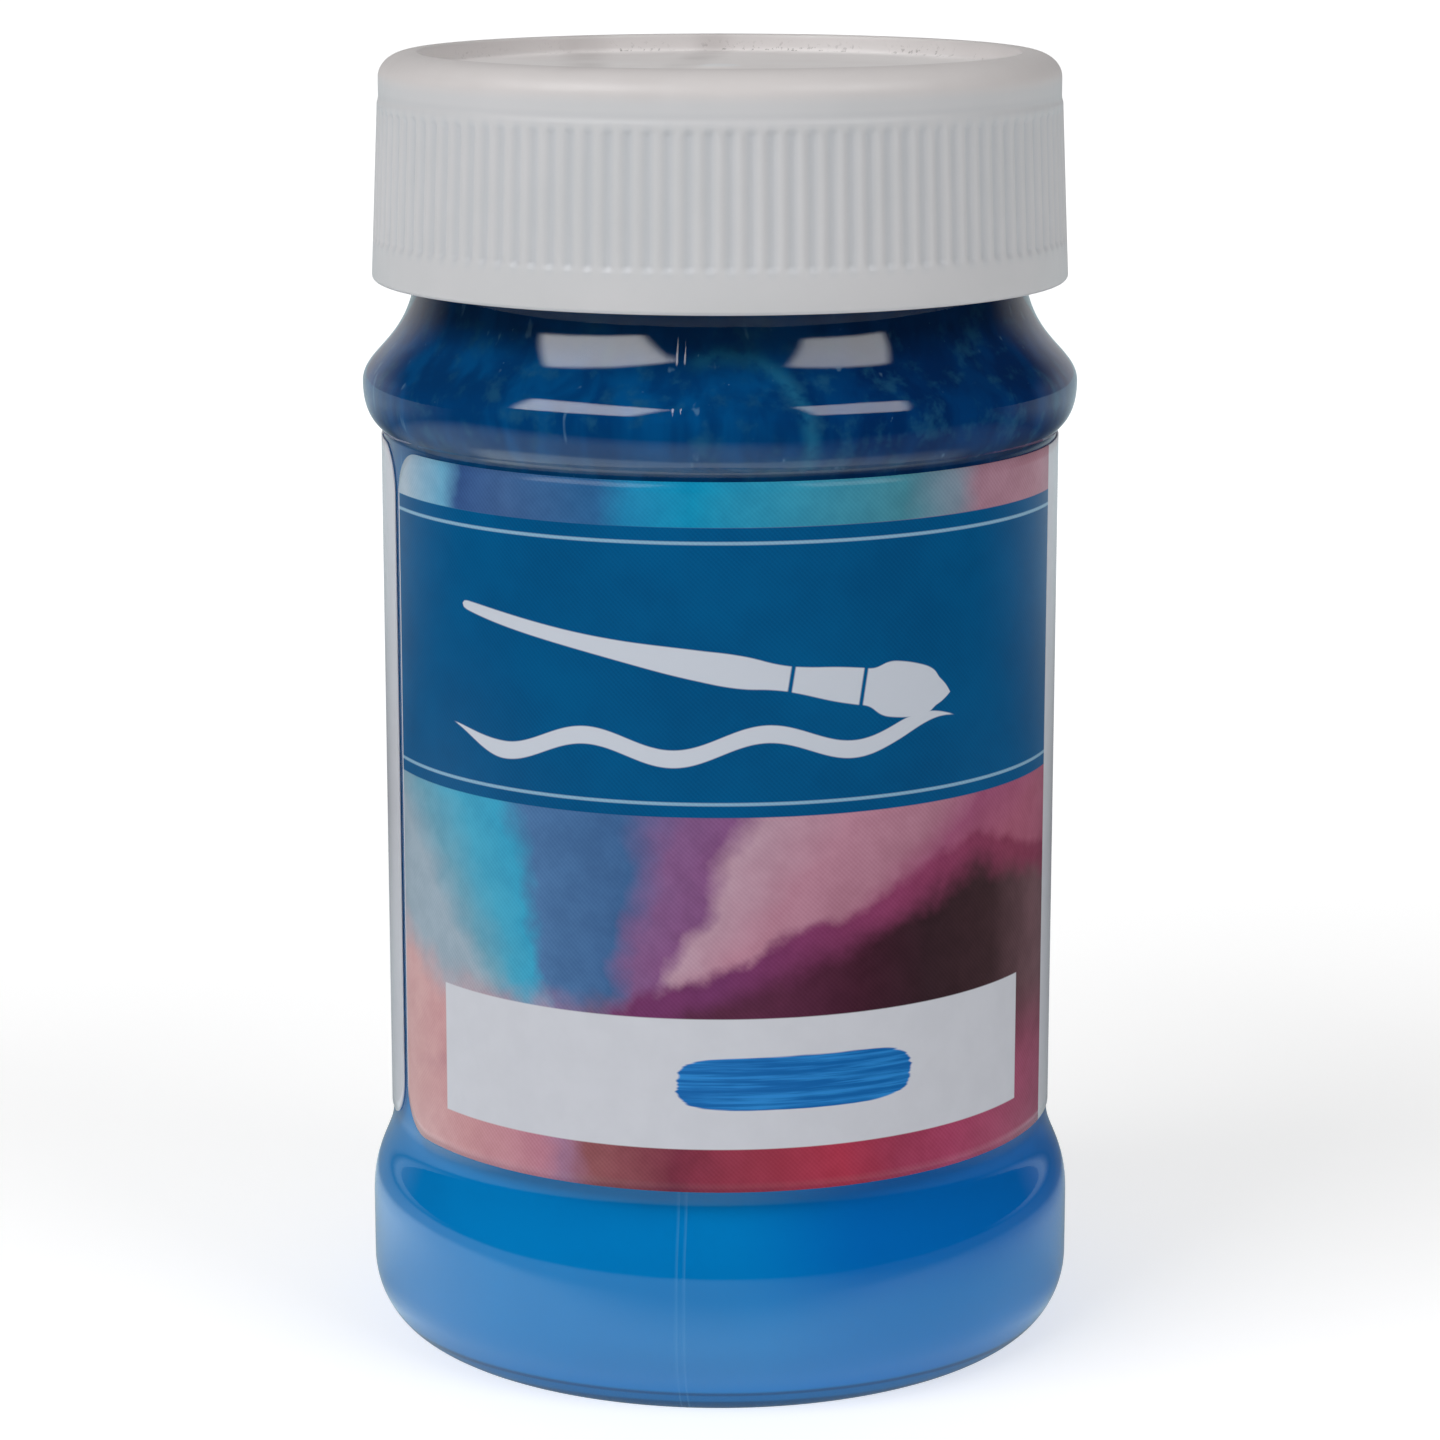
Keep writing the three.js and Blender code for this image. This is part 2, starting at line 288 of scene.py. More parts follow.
def make_jar():
    body = jar_outside()
    neck_foot = line(body[-1], (NECK_R, NECK_Z), 4)
    neck = line(neck_foot[-1], (NECK_R, RIM_Z - RIM_ROUND), NECK_ROWS)
    rounding = (RIM_ROUND, RIM_ROUND)
    lip = arc((NECK_R - RIM_ROUND, RIM_Z - RIM_ROUND), rounding, 0, 90, 5)
    lip += line(lip[-1], (MOUTH_R + RIM_ROUND, RIM_Z), 2)
    lip += arc((MOUTH_R + RIM_ROUND, RIM_Z - RIM_ROUND), rounding, 90, 180, 5)
    profile = body + neck_foot + neck + lip + jar_inside()[::-1]
    seam_rows = range(DOME_ROWS + 2, len(body))  # from the outer edge of the standing ring upwards
    thread_from = len(body) + len(neck_foot)
    thread_rows = range(thread_from, thread_from + len(neck))

    def relief(angle, radius, height, row):
        if row in seam_rows:
            return seam_relief(angle, radius)
        if row in thread_rows:
            return NECK_THREAD_DEPTH * thread_height(angle, height, **NECK_THREAD)
        return 0

    jar = revolve("jar_shell", profile, jar_angles(), relief)
    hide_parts("jar_body")
    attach(jar, "jar")
    return jar


# ---- The paint ----

WETTING = 0.05  # the paint is drawn this far into the wall, so that no air shows between them
MENISCUS = 0.6
SURFACE_R = 16.6  # the paint's surface is flat inside this radius
PAINT_COLUMNS = 192


def wetted(radius, height):
    """A point of the jar's inside moved into the wall: outwards, and downwards too over the floor."""
    down = WETTING
    if radius >= INSIDE_CORNER_R:
        down *= smoothstep((INSIDE_CORNER_Z - height) / (INSIDE_CORNER_Z - FLOOR))
    return radius + WETTING, height - down


def make_paint():
    """The paint fills the inside of the jar and climbs a little up the wall at its surface."""
    wall = [wetted(radius, height) for radius, height in jar_inside()[1:]]
    profile = [(0, PUSH_UP + FLOOR - WETTING)] + wall
    profile += line(profile[-1], (MOUTH_R + WETTING, PAINT_Z + MENISCUS), 3)
    side, foot = (MOUTH_R - 0.1, PAINT_Z + 0.1), (MOUTH_R - 0.6, PAINT_Z)
    profile += bezier(profile[-1], side, foot, (SURFACE_R, PAINT_Z), 10)
    profile += line(profile[-1], (0, PAINT_Z), 12)
    paint = revolve("paint", profile, even_angles(PAINT_COLUMNS))
    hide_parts("paint_fill")
    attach(paint, "jar")
    return paint


# ---- The label ----

LABEL_CORNER = 3.0
LABEL_GAP = 0.9
LABEL_GAP_ANGLE = math.radians(-69.1)
LABEL_COLUMNS = 260
CORNER_COLUMNS = 18
LABEL_ROWS = 60


def label_columns(length):
    """Places along the sheet, closer together at its round corners."""
    corner = [0.0]
    for n in range(1, CORNER_COLUMNS + 1):
        corner.append(LABEL_CORNER * (1 - math.cos(math.radians(90 * n / CORNER_COLUMNS))))
    straight = length - 2 * LABEL_CORNER
    inner = [LABEL_CORNER + straight * n / LABEL_COLUMNS for n in range(1, LABEL_COLUMNS)]
    return corner + inner + [length - along for along in reversed(corner)]


def sheet_faces(columns, rows):
    """Both faces of a thin sheet and its edge all round. Its points go column by column, front first."""
    back = columns * rows

    def at(column, row):
        return column * rows + row

    faces = []
    for c in range(columns - 1):
        for r in range(rows - 1):
            quad = [at(c, r), at(c + 1, r), at(c + 1, r + 1), at(c, r + 1)]
            faces.append(quad)
            faces.append([v + back for v in reversed(quad)])
    edge = [at(c, 0) for c in range(columns)]
    edge += [at(columns - 1, r) for r in range(1, rows)]
    edge += [at(c, rows - 1) for c in range(columns - 2, -1, -1)]
    edge += [at(0, r) for r in range(rows - 2, 0, -1)]
    for a, b in zip(edge, edge[1:] + edge[:1]):
        faces.append([b, a, a + back, b + back])
    return faces


def make_label():
    """One sheet round the panel, with round corners and a bare strip between its ends."""
    low, high = LABEL_Z
    length = TAU * LABEL_R - LABEL_GAP
    alongs = label_columns(length)
    verts = []
    for face_r in (LABEL_R, LABEL_R - LABEL_SHEET):
        for along in alongs:
            angle = LABEL_GAP_ANGLE + (LABEL_GAP / 2 + along) / LABEL_R
            x, y = face_r * math.sin(angle), -face_r * math.cos(angle)
            into = LABEL_CORNER - min(along, length - along, LABEL_CORNER)
            cut = LABEL_CORNER - math.sqrt(max(0.0, LABEL_CORNER**2 - into**2))
            for row in range(LABEL_ROWS + 1):
                height = low + cut + (high - low - 2 * cut) * row / LABEL_ROWS
                verts.append((x * MM, y * MM, height * MM))
    label = mesh_object("label", verts, sheet_faces(len(alongs), LABEL_ROWS + 1))
    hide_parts("wrap_label")
    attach(label, "jar")
    return label


# ---- The cap ----

CAP_TOP, CAP_BOTTOM = CAP_Z[1], CAP_Z[0]
CAP_RECESS = 1.1
CAP_PLATE = 1.3
CAP_CORNER = (2.1, 1.6)  # how far the round top corner reaches inwards and down
CAP_TOP_R = 21.96  # the smooth band above the ribs
CAP_BORE_R = 21.15
CAP_RIM_IN = 19.3
CAP_EDGE = 0.3
GATE_R = 2.4  # the low swelling where the plastic flowed in, in the middle of the top
GATE_RISE = 0.22
GATE_STEERED = (0.7, 0.6)  # where the swelling's curve is steered, as parts of its radius
DISH_EDGE = 0.25  # the rounding at the top and the foot of the dish's wall
DISH_LEAN = 0.1  # how far the dish's wall leans in
BORE_EASE = 0.15  # the eased corner at the top of the bore
CAP_STEP_Z = (81.05, 81.65)  # the ribbed skirt stands a little proud of the band above it
RIB_Z = (72.3, 81.05)
RIB_DEPTH = 0.23
RIB_END = 0.55  # the grooves between the ribs fade out over this height
BEAD_R = 20.45  # a ring inside the cap that holds the liner up
BEAD_HALF = 0.45
LINER_SLACK = 0.1  # between the liner and that ring
SKIRT_FOOT_R = CAP_R - 0.03
SKIRT_TOP_R = 22.06
SKIRT_BAND_Z = (71.0, 72.0)  # rows across the smooth band at the skirt's foot
BORE_ROWS = 48
RIB_COLUMNS = 6

CAP_THREAD_DROP = 1.386 + THREAD_GAP  # the cap's ridge lies this far under the neck's
CAP_THREAD = {"top_z": THREAD_TOP_Z - CAP_THREAD_DROP, "root_half": 0.95, "crest_half": 0.45}
CAP_THREAD_DEPTH = 1.1


def skirt_radius(height):
    """The skirt tapers: it is widest at its foot."""
    t = (height - CAP_BOTTOM) / (RIB_Z[1] - CAP_BOTTOM)
    return SKIRT_FOOT_R + (SKIRT_TOP_R - SKIRT_FOOT_R) * t


def cap_bore():
    """The underside of the top plate, the top of the bore, and the ring that holds the liner."""
    top = CAP_TOP - CAP_RECESS - CAP_PLATE
    bead_z = LINER_Z[0] - BEAD_HALF - LINER_SLACK
    points = [(0, top)]
    points += line(points[-1], (CAP_BORE_R - BORE_EASE, top), 6)
    points += [(CAP_BORE_R, top - BORE_EASE), (CAP_BORE_R, bead_z + BEAD_HALF)]
    points += arc((CAP_BORE_R, bead_z), (BEAD_R - CAP_BORE_R, BEAD_HALF), 90, -90, 8)
    return points


def rib_heights():
    """Heights up the grooves, closer together where they fade out."""
    low, high = RIB_Z
    ends = [RIB_END * n / 5 for n in range(6)]
    middle = [low + (high - low) * n / 4 for n in (1, 2, 3)]
    return [low + end for end in ends] + middle + [high - end for end in reversed(ends)]


def cap_outside():
    """The skirt from its foot up, the band above the ribs, the round corner and the dished top.

    It also gives the rows where the grooves between the ribs start and end.
    """
    foot = skirt_radius(CAP_BOTTOM + CAP_EDGE)
    points = arc((foot - CAP_EDGE, CAP_BOTTOM + CAP_EDGE), (CAP_EDGE, CAP_EDGE), -90, 0, 5)
    points += [(skirt_radius(z), z) for z in SKIRT_BAND_Z]
    ribs_from = len(points)
    points += [(skirt_radius(z), z) for z in rib_heights()]
    ribs_to = len(points)
    low, high = CAP_STEP_Z
    middle = (low + high) / 2
    points += bezier(points[-1], (SKIRT_TOP_R, middle), (CAP_TOP_R, middle), (CAP_TOP_R, high), 8)
    reach, drop = CAP_CORNER
    points += line(points[-1], (CAP_TOP_R, CAP_TOP - drop), 2)
    points += arc((CAP_TOP_R - reach, CAP_TOP - drop), CAP_CORNER, 0, 90, 16)
    rounding = (DISH_EDGE, DISH_EDGE)
    points += line(points[-1], (CAP_RIM_IN + DISH_EDGE, CAP_TOP), 2)
    points += arc((CAP_RIM_IN + DISH_EDGE, CAP_TOP - DISH_EDGE), rounding, 90, 175, 4)
    floor_z = CAP_TOP - CAP_RECESS
    wall_foot = CAP_RIM_IN - DISH_LEAN
    points += line(points[-1], (wall_foot, floor_z + DISH_EDGE), 2)
    points += arc((wall_foot - DISH_EDGE, floor_z + DISH_EDGE), rounding, 0, -90, 4)
    points += line(points[-1], (GATE_R, floor_z), 6)
    near, far = (GATE_R * part for part in GATE_STEERED)
    gate_z = floor_z + GATE_RISE
    points += bezier(points[-1], (near, floor_z), (far, gate_z), (0, gate_z), 8)
    return points, ribs_from, ribs_to


def rib_relief(angle, height):
    """The grooves between the ribs: an even wave round the skirt that fades at both ends."""
    phase = angle * RIBS / TAU % 1
    across = (1 - math.cos(TAU * phase)) / 2
    ends = smoothstep((height - RIB_Z[0]) / RIB_END) * smoothstep((RIB_Z[1] - height) / RIB_END)
    return -RIB_DEPTH * across * ends


def make_cap():
    bore = cap_bore()
    wall = line((CAP_BORE_R, bore[-1][1]), (CAP_BORE_R, CAP_BOTTOM + CAP_EDGE), BORE_ROWS)
    foot = arc((CAP_BORE_R + CAP_EDGE, CAP_BOTTOM + CAP_EDGE), (CAP_EDGE, CAP_EDGE), 180, 270, 4)
    outside, ribs_from, ribs_to = cap_outside()
    thread_rows = range(len(bore), len(bore) + len(wall))
    outside_row = len(bore) + len(wall) + len(foot)
    rib_rows = range(outside_row + ribs_from, outside_row + ribs_to)

    def relief(angle, radius, height, row):
        if row in thread_rows:
            return -CAP_THREAD_DEPTH * thread_height(angle, height, **CAP_THREAD)
        if row in rib_rows:
            return rib_relief(angle, height)
        return 0

    cap = revolve("ribbed_cap", bore + wall + foot + outside, even_angles(RIBS * RIB_COLUMNS), relief)
    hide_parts("screw_cap")
    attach(cap, "cap")
    return cap


# ---- The liner ----

LINER_EDGE = 0.2
RIM_DENT = 0.06  # the jar's rim has pressed a ring into the foam
DENT_SIDE = RIM_DENT * 0.4  # how deep the dent is half way up its soft sides
LINER_COLUMNS = 144


def make_liner():
    low, high = LINER_Z
    profile = [(0, low)] + line((0, low), (MOUTH_R - 0.6, low), 10)
    profile += [(MOUTH_R - 0.2, low + DENT_SIDE), (MOUTH_R + 0.1, low + RIM_DENT)]
    profile += [(NECK_R - 0.1, low + RIM_DENT), (NECK_R + 0.2, low + DENT_SIDE), (NECK_R + 0.5, low)]
    rounding = (LINER_EDGE, LINER_EDGE)
    profile += arc((LINER_R - LINER_EDGE, low + LINER_EDGE), rounding, -90, 0, 5)
    profile += arc((LINER_R - LINER_EDGE, high - LINER_EDGE), rounding, 0, 90, 5)
    profile += line(profile[-1], (0, high), 6)
    liner = revolve("foam_liner", profile, even_angles(LINER_COLUMNS))
    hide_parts("cap_liner")
    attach(liner, "liner")
    return liner


# ---- Materials ----


class Graph:
    """The nodes of a material, a light or the world. A call adds a node and returns its output socket."""

    def __init__(self, owner):
        owner.use_nodes = True
        self.owner = owner
        self.tree = owner.node_tree
        self.tree.nodes.clear()

    def put(self, socket, value):
        if isinstance(value, bpy.types.NodeSocket):
            self.tree.links.new(value, socket)
        else:
            socket.default_value = value

    def node(self, kind, inputs=None, settings=None, output=0):
        node = self.tree.nodes.new(kind)
        for key, value in (settings or {}).items():
            setattr(node, key, value)
        for key, value in (inputs or {}).items():
            self.put(node.inputs[key], value)
        return node.outputs[output]

    def math(self, operation, a, b=0.0):
        return self.node("ShaderNodeMath", {0: a, 1: b}, {"operation": operation})

    def plus(self, a, b):
        return self.math("ADD", a, b)

    def minus(self, a, b):
        return self.math("SUBTRACT", a, b)

    def times(self, a, b):
        return self.math("MULTIPLY", a, b)

    def over(self, a, b):
        return self.math("DIVIDE", a, b)

    def most(self, a, b):
        return self.math("MAXIMUM", a, b)

    def abs(self, a):
        return self.math("ABSOLUTE", a)

    def round_angle(self, x, y):
        """The angle round the jar, in radians from the front towards +X."""
        return self.math("ARCTAN2", x, self.times(y, -1.0))

    def stretched(self, place, parts):
        return self.node("ShaderNodeVectorMath", {0: place, 1: parts}, {"operation": "MULTIPLY"})

    def combine(self, x, y):
        return self.node("ShaderNodeCombineXYZ", {0: x, 1: y})

    def separate(self, vector):
        parts = self.tree.nodes.new("ShaderNodeSeparateXYZ")
        self.put(parts.inputs[0], vector)
        return tuple(parts.outputs)

    def length(self, x, y):
        return self.node("ShaderNodeVectorMath", {0: self.combine(x, y)}, {"operation": "LENGTH"}, "Value")

    def rays(self, *kinds):
        """1 for light paths of any of these kinds, such as "Is Camera Ray"."""
        paths = self.tree.nodes.new("ShaderNodeLightPath").outputs
        either = paths[kinds[0]]
        for kind in kinds[1:]:
            either = self.most(either, paths[kind])
        return either

    def place(self):
        """The point's place on the object, in millimetres."""
        metres = self.node("ShaderNodeTexCoord", output="Object")
        return self.node("ShaderNodeVectorMath", {0: metres, "Scale": 1 / MM}, {"operation": "SCALE"})

    def millimetres(self):
        """The point's place as x, y and z, and as one vector."""
        place = self.place()
        return (*self.separate(place), place)

    def smooth(self, value, low, high, to_low=0.0, to_high=1.0):
        """Eases from to_low to to_high as the value goes from low to high."""
        inputs = {"Value": value, "From Min": low, "From Max": high, "To Min": to_low, "To Max": to_high}
        return self.node("ShaderNodeMapRange", inputs, {"interpolation_type": "SMOOTHSTEP"})

    def fall(self, value, low, high):
        return self.smooth(value, low, high, 1.0, 0.0)

    def band(self, value, low, high, soft):
        """1 between low and high, with edges that fade over soft to each side of them."""
        rises = self.smooth(value, low - soft, low + soft)
        return self.times(rises, self.fall(value, high - soft, high + soft))

    def mix(self, factor, a, b, blend="MIX"):
        node = self.tree.nodes.new("ShaderNodeMix")
        node.data_type = "RGBA"
        node.blend_type = blend
        colour_inputs = [socket for socket in node.inputs if socket.type == "RGBA"]
        self.put(node.inputs[0], factor)
        self.put(colour_inputs[0], a)
        self.put(colour_inputs[1], b)
        return next(socket for socket in node.outputs if socket.type == "RGBA")

    def noise(self, place, scale, detail=2.0, roughness=0.5, distortion=0.0):
        """Random cloudiness from 0 to 1. The scale is the number of clouds in a millimetre."""
        inputs = {"Vector": place, "Scale": scale}
        inputs |= {"Detail": detail, "Roughness": roughness, "Distortion": distortion}
        return self.node("ShaderNodeTexNoise", inputs)

    def ramp(self, factor, stops):
        """Stops are (position, colour)."""
        node = self.tree.nodes.new("ShaderNodeValToRGB")
        elements = node.color_ramp.elements
        for position, _ in stops[len(elements) :]:
            elements.new(position)
        for element, (position, shade) in zip(elements, stops):
            element.position = position
            element.color = shade
        self.put(node.inputs[0], factor)
        return node.outputs[0]

    def bump(self, height, strength, distance):
        inputs = {"Height": height, "Strength": strength, "Distance": distance}
        return self.node("ShaderNodeBump", inputs)

    def finish(self, shader, output="ShaderNodeOutputMaterial"):
        self.put(self.tree.nodes.new(output).inputs["Surface"], shader)
        return self.owner


def material_graph(name):
    return Graph(bpy.data.materials.new(name))


def linear(channel):
    return channel / 12.92 if channel <= 0.04045 else ((channel + 0.055) / 1.055) ** 2.4


def rgb(red, green, blue, gain=1.0):
    """A colour written as 8-bit sRGB, as a linear RGBA value."""
    return (*(min(1.0, linear(c / 255) * gain) for c in (red, green, blue)), 1.0)


PAPER_WHITE = 0.69
PAPER_SHOWN = 196  # the 8-bit sRGB level that white paper shows in soft light


def ink(red, green, blue):
    """A printed colour, written as it looks in the light that shows white paper as PAPER_SHOWN."""
    return rgb(red, green, blue, PAPER_WHITE / linear(PAPER_SHOWN / 255))


# Faint marks wiped across the cap's top: (where it crosses the middle, its lean, half its width)
WIPES = [(-8.7, -0.033, 1.2), (-2.5, 0.104, 1.0)]
TOP_FADE_Z = (CAP_TOP - 2.2, CAP_TOP - 1.1)  # the skirt's look gives way to the top's
# where the dish's painted light begins
DISH_LIGHT_R = (CAP_RIM_IN - 0.3, CAP_RIM_IN + 0.1)
# where the painted highlight on the gate mark fades out
GATE_HIGHLIGHT_R = (1.0, 1.7)
DUST_R = (CAP_RIM_IN - 0.5, CAP_RIM_IN - 0.1)
# painted shade in the concave foot of the band above the ribs
BAND_SHADE_Z = (CAP_STEP_Z[1] - 0.05, CAP_STEP_Z[1] + 0.15)


def cap_colour(g, radius, on_top, place):
    """Cool at the skirt and a little warmer on top, with painted light that makes the dish lighter and a
    painted highlight on the gate mark.
    """
    cloud = g.smooth(g.noise(place, 0.09, 3.0, 0.55), 0.35, 0.65)
    skirt = g.mix(cloud, rgb(214, 215, 217), rgb(218, 218, 220))
    rim = g.mix(cloud, rgb(222, 217, 216), rgb(226, 221, 220))
    # painted light: the dish is painted lighter than the rim
    dish = g.mix(cloud, rgb(241, 236, 235), rgb(245, 241, 240))
    top = g.mix(g.fall(radius, *DISH_LIGHT_R), rim, dish)
    base = g.mix(on_top, skirt, top)
    # painted highlight: the gate mark is painted whiter
    gate = g.times(g.fall(radius, *GATE_HIGHLIGHT_R), on_top)
    return g.mix(g.times(gate, 0.7), base, rgb(243, 244, 246))


def wiped(g, x, y, place):
    """How much of a wiped mark there is at a point: 0 to 1."""
    marks = 0.0
    for at, lean, half in WIPES:
        off = g.minus(g.minus(x, g.times(y, lean)), at)
        marks = g.most(marks, g.band(off, -half, half, half * 0.9))
    return g.times(marks, g.smooth(g.noise(place, 0.12, 2.0, 0.5), 0.3, 0.62))


def dusty(g, radius, on_top, place):
    """How much dust there is at a point, in clusters of specks in the dish's corner: 0 to 1."""
    in_corner = g.times(g.band(radius, *DUST_R, 0.12), on_top)
    clusters = g.smooth(g.noise(place, 0.25, 2.0), 0.42, 0.62)
    specks = g.times(g.smooth(g.noise(place, 2.9, 2.0, 0.6), 0.57, 0.65), clusters)
    return g.times(specks, in_corner)


def between_ribs(g, x, y, z):
    """How far into a groove between two ribs a point is: 0 to 1."""
    turn = g.over(g.round_angle(x, y), TAU / RIBS)
    from_groove = g.abs(g.minus(g.math("FRACT", turn), 0.5))
    return g.times(g.fall(from_groove, 0.05, 0.4), g.band(z, *RIB_Z, RIB_END))


def white_plastic():
    """Moulded white plastic: wiped and scuffed on top, dusty in the dish's corner, with painted shade in
    the grooves and under the band above the ribs.
    """
    g = material_graph("white_plastic")
    x, y, z, place = g.millimetres()
    radius = g.length(x, y)
    on_top = g.smooth(z, *TOP_FADE_Z)
    base = cap_colour(g, radius, on_top, place)
    marks = g.times(wiped(g, x, y, place), g.times(on_top, 0.55))
    base = g.mix(marks, base, rgb(203, 197, 196))
    dust = g.times(dusty(g, radius, on_top, place), 0.7)
    base = g.mix(dust, base, rgb(112, 104, 100))
    # painted shade: the grooves between the ribs are painted greyer
    base = g.mix(g.times(between_ribs(g, x, y, z), 0.4), base, rgb(196, 202, 209))
    # painted shade under the band above the ribs, over the step
    painted_band_shade = g.band(z, *BAND_SHADE_Z, 0.25)
    base = g.mix(g.times(painted_band_shade, 0.25), base, rgb(192, 195, 200))

    scratches = g.noise(g.stretched(place, (0.4, 2.6, 0.4)), 1.1, 5.0, 0.65, 1.2)
    grain = g.noise(place, 7.0, 2.0)
    height = g.plus(g.times(grain, 0.5), g.times(scratches, 0.5))
    inputs = {
        "Base Color": base,
        "Roughness": g.smooth(scratches, 0.3, 0.75, 0.36, 0.5),
        "IOR": 1.49,
        "Normal": g.bump(height, 0.12, 0.02 * MM),
    }
    return g.finish(g.node("ShaderNodeBsdfPrincipled", inputs))


def clear_plastic():
    """Clear plastic: it bends what is seen through it, while light reaches what is behind it unbent."""
    g = material_graph("clear_plastic")
    place = g.place()
    waves = g.noise(g.stretched(place, (1, 1, 0.5)), 0.12, 2.0)
    handled = g.smooth(g.noise(place, 0.2, 3.0, 0.6), 0.45, 0.7)
    inputs = {
        "Color": (0.985, 0.99, 0.995, 1),
        "Roughness": g.smooth(handled, 0.0, 1.0, 0.03, 0.06),
        "IOR": 1.58,
        "Normal": g.bump(waves, 0.25, 0.25 * MM),
    }
    glass = g.node("ShaderNodeBsdfGlass", inputs)
    straight = g.node("ShaderNodeBsdfTransparent", {"Color": (0.97, 0.98, 0.985, 1)})
    passing = g.rays("Is Shadow Ray", "Is Diffuse Ray")
    return g.finish(g.node("ShaderNodeMixShader", {0: passing, 1: glass, 2: straight}))


# Heights and sideways places where the paint's look changes
# painted shade: the paint darkens at the heel's foot and in a thin line, fading in below the heel's top
HEEL_FOOT_Z = (1.34, 1.42)
HEEL_SHADOW_LINE_Z = (1.64, 1.8)  # a thin painted shadow line round the heel
HEEL_TOP_Z = (1.7, 1.95)
# painted shade: the lower paint darkens to the right and towards the label over these heights and places
RIGHT_SHADE_Z = (6.0, 10.5)
RIGHT_SHADE_X = (-1.0, 10.0)
FILM_Z = (56.0, 61.0)  # above here the paint is a film that clings to the wall
# the film is darker towards +X over this range
FILM_DARKER_X = (1.0, 9.0)
# painted shadow of the cap, darkening the film upwards over these heights
CAP_SHADOW_Z = (65.0, 69.5)
WET_Z = (PAINT_Z - 0.1, PAINT_Z - 0.02)  # the paint's surface, as against its sides

SEAM_GLINT_HALF = 0.06  # half the width of the painted glints along the ridges, drawn on the paint
SMEAR_AT = (0.6, 61.8)  # the middle of a pale curved smear on the shoulder
SMEAR_R = 5.2
SMEAR_HALF = 0.4
SMEAR_FADE = (63.0, 66.0)  # distance along plus height: only its upper right shows


def lower_paint(g, x, y, z, place):
    """Bright and even, with painted shade a little to the right and towards the label, and painted shade
    at the heel.
    """
    cloud = g.smooth(g.noise(place, 0.06, 2.0), 0.35, 0.65)
    body = g.mix(cloud, rgb(0, 128, 202), rgb(0, 134, 208))
    # painted shade to the right and towards the label
    painted_right_shade = g.times(g.smooth(x, *RIGHT_SHADE_X), g.smooth(z, *RIGHT_SHADE_Z, 0.35, 0.9))
    body = g.mix(painted_right_shade, body, rgb(0, 108, 196))
    # painted shade at the heel and a painted shadow line round it
    heel = g.mix(g.fall(z, *HEEL_FOOT_Z), rgb(0, 112, 178), rgb(0, 84, 138))
    heel = g.mix(g.band(z, *HEEL_SHADOW_LINE_Z, 0.05), heel, rgb(0, 84, 140))
    body = g.mix(g.fall(z, *HEEL_TOP_Z), body, heel)
    # painted glints: the seam's two ridges are painted as pale lines on the paint
    across = g.plus(g.times(x, math.cos(SEAM)), g.times(y, math.sin(SEAM)))
    seam_glint = g.band(g.abs(across), SEAM_LINES - SEAM_GLINT_HALF, SEAM_LINES + SEAM_GLINT_HALF, 0.06)
    return g.mix(g.times(seam_glint, 0.14), body, rgb(120, 190, 230))


def smeared(g, x, y, z, place):
    """How much of the curved smear there is at a point: 0 to 1."""
    along = g.times(g.round_angle(x, y), SHOULDER_R)
    from_middle = g.length(g.minus(along, SMEAR_AT[0]), g.minus(z, SMEAR_AT[1]))
    ring = g.band(from_middle, SMEAR_R - SMEAR_HALF, SMEAR_R + SMEAR_HALF, 0.6)
    part = g.times(ring, g.smooth(g.plus(along, z), *SMEAR_FADE))
    return g.times(part, g.smooth(g.noise(place, 0.7, 4.0, 0.6), 0.3, 0.6))


def shoulder_film(g, x, y, z, place):
    """Dark and mottled, with drips, runs and specks, and a painted shadow of the cap under it."""
    drips = g.smooth(g.noise(g.stretched(place, (1, 1, 0.25)), 0.4, 3.0, 0.5, 0.3), 0.38, 0.66)
    film_left = g.mix(drips, rgb(0, 60, 114), rgb(0, 78, 136))
    film_right = g.mix(drips, rgb(0, 44, 96), rgb(0, 58, 114))
    film = g.mix(g.smooth(x, *FILM_DARKER_X), film_left, film_right)
    film = g.mix(g.times(smeared(g, x, y, z, place), 0.6), film, rgb(40, 124, 158))
    mottle = g.smooth(g.noise(place, 0.5, 4.0, 0.6), 0.5, 0.72)
    film = g.mix(g.times(mottle, 0.6), film, rgb(34, 92, 128))
    runs = g.smooth(g.noise(g.stretched(place, (1.1, 1.1, 0.12)), 1.0, 2.0, 0.5), 0.68, 0.78)
    specks = g.smooth(g.noise(place, 2.2, 2.0, 0.55), 0.74, 0.79)
    film = g.mix(g.times(g.most(runs, specks), 0.35), film, rgb(112, 158, 188))
    # painted shadow of the cap
    return g.mix(g.smooth(z, *CAP_SHADOW_Z, 0.0, 0.7), film, rgb(0, 30, 58))


def blue_paint():
    """Bright in the lower jar and dark behind the shoulder. Its open surface is wet and glossy."""
    g = material_graph("blue_paint")
    x, y, z, place = g.millimetres()
    film = shoulder_film(g, x, y, z, place)
    base = g.mix(g.smooth(z, *FILM_Z), lower_paint(g, x, y, z, place), film)
    wet = g.smooth(z, *WET_Z)
    base = g.mix(wet, base, rgb(0, 112, 190))
    ripples = g.noise(place, 0.22, 3.0, 0.5, 0.4)
    inputs = {
        "Base Color": base,
        "Roughness": g.smooth(wet, 0.0, 1.0, 0.6, 0.08),
        "Specular IOR Level": g.smooth(wet, 0.0, 1.0, 0.0, 0.5),
        "Normal": g.bump(ripples, 0.3, 0.4 * MM),
    }
    return g.finish(g.node("ShaderNodeBsdfPrincipled", inputs))


